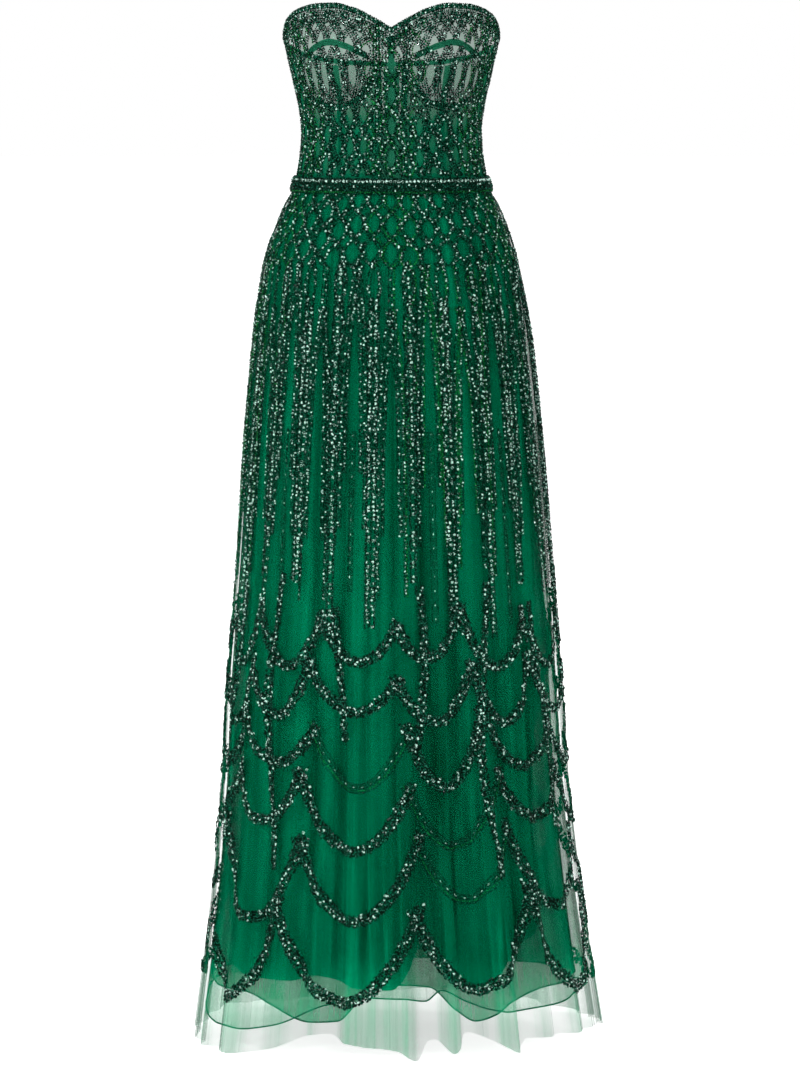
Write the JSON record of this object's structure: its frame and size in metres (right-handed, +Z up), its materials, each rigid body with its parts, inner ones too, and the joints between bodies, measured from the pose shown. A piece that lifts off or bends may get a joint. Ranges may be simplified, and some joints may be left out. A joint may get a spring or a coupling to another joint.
{
  "type": "corset gown",
  "caption": "Full-length strapless gown held filled out: boned sweetheart bodice with cups, rolled beaded belt, beaded tulle overlay over organza skirts and lining.",
  "frame": {"origin": "centre of the waist seam, at mid height of the belt, where the wearer's waist holds the gown", "axes": "+Z up along the gown, -Y towards the front, +X to the right of a viewer who faces the front"},
  "size_m": [0.5682, 0.5283, 1.4281],
  "materials": {
    "sheer_tulle": "sheer net with green seed beads",
    "beaded_tulle": "green net with dark green seed beads and crystals",
    "satin": "satin",
    "bone_satin": "satin boning channel",
    "zip_tape": "woven zip tape",
    "belt_beads": "rolled band covered in dark beads with a row of crystals",
    "organza": "sheer organza with a rolled hem",
    "petticoat_organza": "sheer organza with a rolled hem",
    "lining": "satin lining"
  },
  "bodies": {
    "root": {"centre_front": "sheer_tulle", "front_left": "beaded_tulle", "front_right": "beaded_tulle", "side_front_left": "beaded_tulle", "side_front_right": "beaded_tulle", "lower_cup_left": "sheer_tulle", "lower_cup_right": "sheer_tulle", "upper_cup_left": "sheer_tulle", "upper_cup_right": "sheer_tulle", "side_left": "beaded_tulle", "side_right": "beaded_tulle", "side_back_left": "beaded_tulle", "side_back_right": "beaded_tulle", "back_left": "beaded_tulle", "back_right": "beaded_tulle", "top_binding": "satin", "bone_centre": "bone_satin", "bone_front_left": "bone_satin", "bone_front_right": "bone_satin", "bone_side_front_left": "bone_satin", "bone_side_front_right": "bone_satin", "bone_side_left": "bone_satin", "bone_side_right": "bone_satin", "bone_side_back_left": "bone_satin", "bone_side_back_right": "bone_satin", "bone_back_left": "bone_satin", "bone_back_right": "bone_satin", "underwire_left": "satin", "underwire_right": "satin", "cup_band_left": "satin", "cup_band_right": "satin", "back_zip": "zip_tape", "belt": "belt_beads", "overlay_front": "beaded_tulle", "overlay_back_left": "beaded_tulle", "overlay_back_right": "beaded_tulle", "underskirt_front": "organza", "underskirt_back": "organza", "petticoat_front": "petticoat_organza", "petticoat_back": "petticoat_organza", "lining_front": "lining", "lining_back_left": "lining", "lining_back_right": "lining"}
  },
  "joints": []
}
